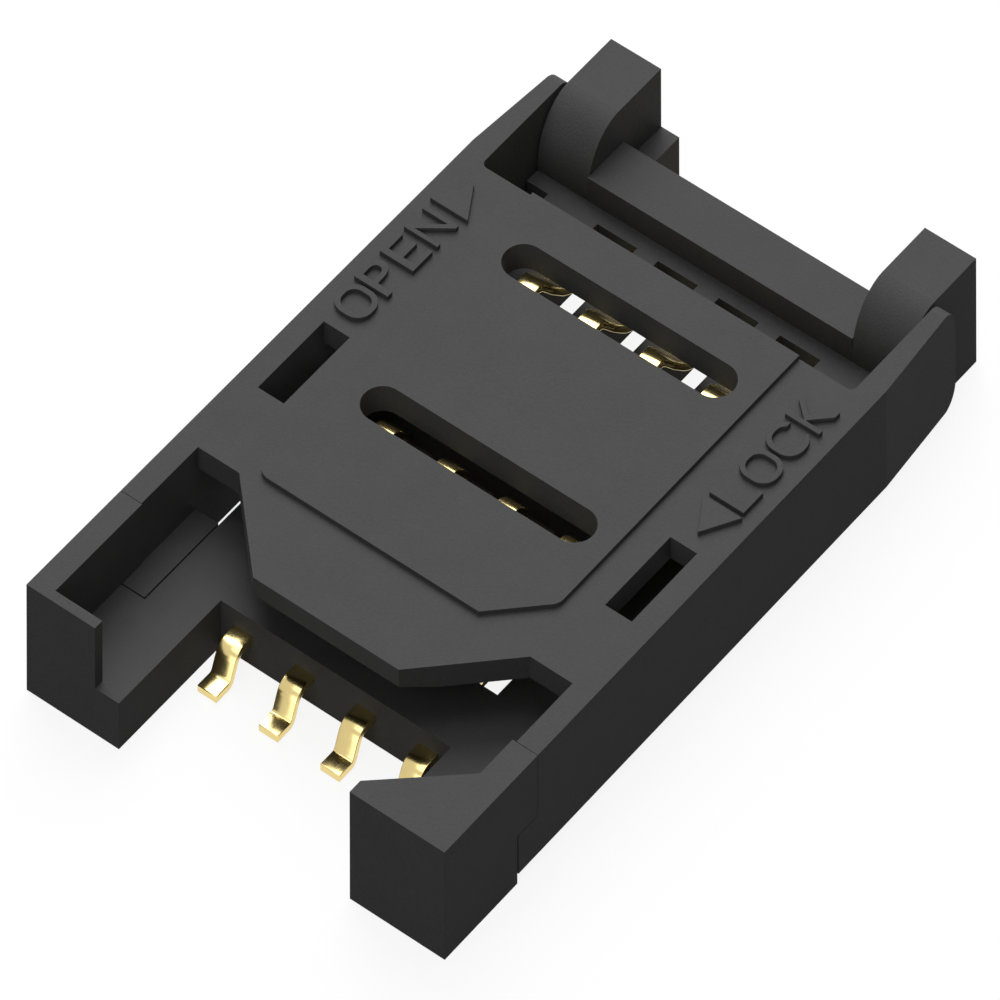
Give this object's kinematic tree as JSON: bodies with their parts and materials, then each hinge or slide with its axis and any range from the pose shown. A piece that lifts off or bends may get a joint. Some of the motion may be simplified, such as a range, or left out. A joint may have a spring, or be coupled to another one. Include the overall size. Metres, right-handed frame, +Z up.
{
  "type": "sim card socket",
  "caption": "Board-mounted card socket with a hinged, sliding lid that locks under the base and two rows of spring contacts.",
  "frame": {"origin": "middle of the footprint, on the board face under the base", "axes": "+Z up from the board, +Y from the open front towards the hinge, +X to the side of the cut corner"},
  "size_m": [0.0172, 0.0296, 0.0035],
  "materials": {
    "housing_plastic": "fine matte, moulded black",
    "contact_gold": "thin pale gold plating on a copper alloy",
    "pin_steel": "plain drawn steel"
  },
  "bodies": {
    "base": {"base_housing": "housing_plastic", "front_contact_1": "contact_gold", "front_contact_2": "contact_gold", "front_contact_3": "contact_gold", "front_contact_4": "contact_gold", "back_contact_1": "contact_gold", "back_contact_2": "contact_gold", "back_contact_3": "contact_gold", "back_contact_4": "contact_gold"},
    "hinge_pins": {"hinge_pin_left": "pin_steel", "hinge_pin_right": "pin_steel"},
    "lid": {"lid": "housing_plastic"}
  },
  "joints": [
    {"name": "lid_slide", "type": "slide", "parent": "base", "child": "hinge_pins", "axis": [0, 1, 0], "range_m": [0, 0.00105]},
    {"name": "lid_hinge", "type": "hinge", "parent": "hinge_pins", "child": "lid", "pos_m": [0, 0.0114, 0.0017], "axis": [-1, 0, 0], "range_deg": [0, 110]}
  ]
}
